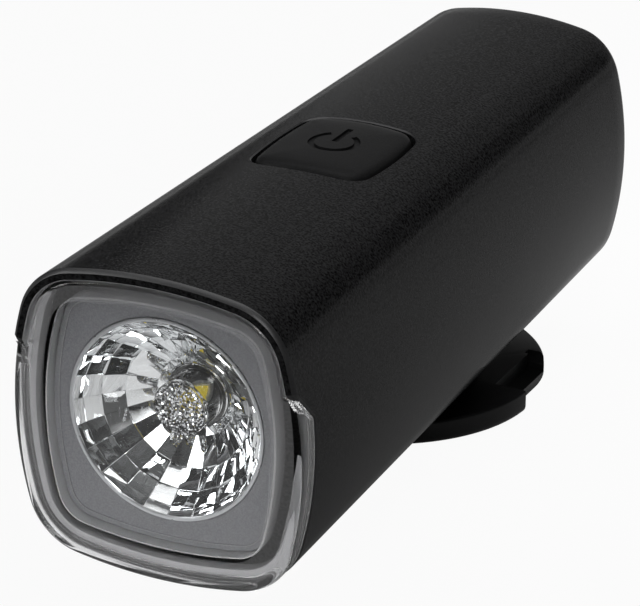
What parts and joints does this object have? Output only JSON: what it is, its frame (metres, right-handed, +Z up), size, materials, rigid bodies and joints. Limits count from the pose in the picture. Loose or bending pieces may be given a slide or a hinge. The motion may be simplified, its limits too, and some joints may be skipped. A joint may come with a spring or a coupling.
{
  "type": "bicycle headlight",
  "caption": "Rechargeable bicycle headlight: tapered black body, hooded clear lens over a faceted reflector, top power button, rear charge port, quarter-turn foot in an oval bar bracket.",
  "frame": {"origin": "on the axis of the quarter-turn mount, in the plane of the rubber pad that lies on the handlebar", "axes": "-Y is the beam's direction, +Z is up from the handlebar and +X is the rider's left when the light points ahead"},
  "size_m": [0.0378, 0.105, 0.045],
  "materials": {
    "bracket_plastic": "moulded, satin black",
    "pad_rubber": "matt black",
    "screw_steel": "zinc plated",
    "rear_screw_steel": "dark stainless",
    "body_black": "bead blasted and anodised black",
    "lens_clear": "clear polycarbonate",
    "seal_rubber": "matt dark grey",
    "lens_seal_pale": "pale silicone, satin",
    "bezel_grey": "fine matt grey",
    "reflector_chrome": "vacuum metallised, faceted",
    "optic_clear": "clear acrylic",
    "phosphor_yellow": "yellow phosphor under silicone",
    "led_white": "white ceramic",
    "board_black": "black solder mask on aluminium",
    "pad_blue": "soft thermal pad",
    "sink_aluminium": "die cast, plain",
    "lead_red": "silicone insulation",
    "lead_black": "silicone insulation",
    "cradle_grey": "moulded dark grey",
    "cell_wrap": "green shrink sleeve on the can",
    "tab_nickel": "nickel strip",
    "board_green": "green solder mask",
    "chip_black": "moulded epoxy",
    "plunger_white": "moulded",
    "button_black": "fine grained black",
    "usb_steel": "plated steel",
    "tongue_black": "moulded",
    "cap_black": "moulded, satin black",
    "cover_black": "moulded, satin black"
  },
  "bodies": {
    "bracket": {"bracket_base": "bracket_plastic", "bracket_pad": "pad_rubber"},
    "light": {"mount_foot": "bracket_plastic", "foot_screws": "screw_steel", "body_shell": "body_black", "front_lens": "lens_clear", "lens_seal": "lens_seal_pale", "bezel_plate": "bezel_grey", "reflector": "reflector_chrome", "centre_optic": "optic_clear", "led_phosphor": "phosphor_yellow", "led_package": "led_white", "led_board": "board_black", "led_screws": "screw_steel", "thermal_pad": "pad_blue", "heat_sink": "sink_aluminium", "led_lead_red": "lead_red", "led_lead_black": "lead_black", "cell_cradle": "cradle_grey", "battery_cell": "cell_wrap", "front_tab": "tab_nickel", "rear_tab": "tab_nickel", "driver_board": "board_green", "driver_parts": "chip_black", "board_screws": "screw_steel", "switch_body": "chip_black", "button_seal": "seal_rubber", "usb_shell": "usb_steel", "usb_tongue": "tongue_black", "rear_cap": "cap_black", "rear_seal": "seal_rubber", "rear_screws": "rear_screw_steel", "cover_pin": "screw_steel"},
    "button": {"power_button": "button_black"},
    "plunger": {"switch_plunger": "plunger_white"},
    "cover": {"usb_cover": "cover_black"}
  },
  "joints": [
    {"name": "light_twist", "type": "hinge", "parent": "bracket", "child": "light", "pos_m": [0, 0, 0], "axis": [0, 0, 1], "range_deg": [0, 90]},
    {"name": "button_press", "type": "slide", "parent": "light", "child": "button", "axis": [0, 0, -1], "range_m": [0, 0.0005], "stiffness_N_per_m": 3000},
    {"name": "plunger_press", "type": "slide", "parent": "light", "child": "plunger", "axis": [0, 0, -1], "range_m": [0, 0.0005]},
    {"name": "cover_hinge", "type": "hinge", "parent": "light", "child": "cover", "pos_m": [0, 0.0283, 0.0335], "axis": [-1, 0, 0], "range_deg": [0, 110]}
  ],
  "couplings": [
    {"joint": "plunger_press", "follows": "button_press", "ratio": 1}
  ]
}
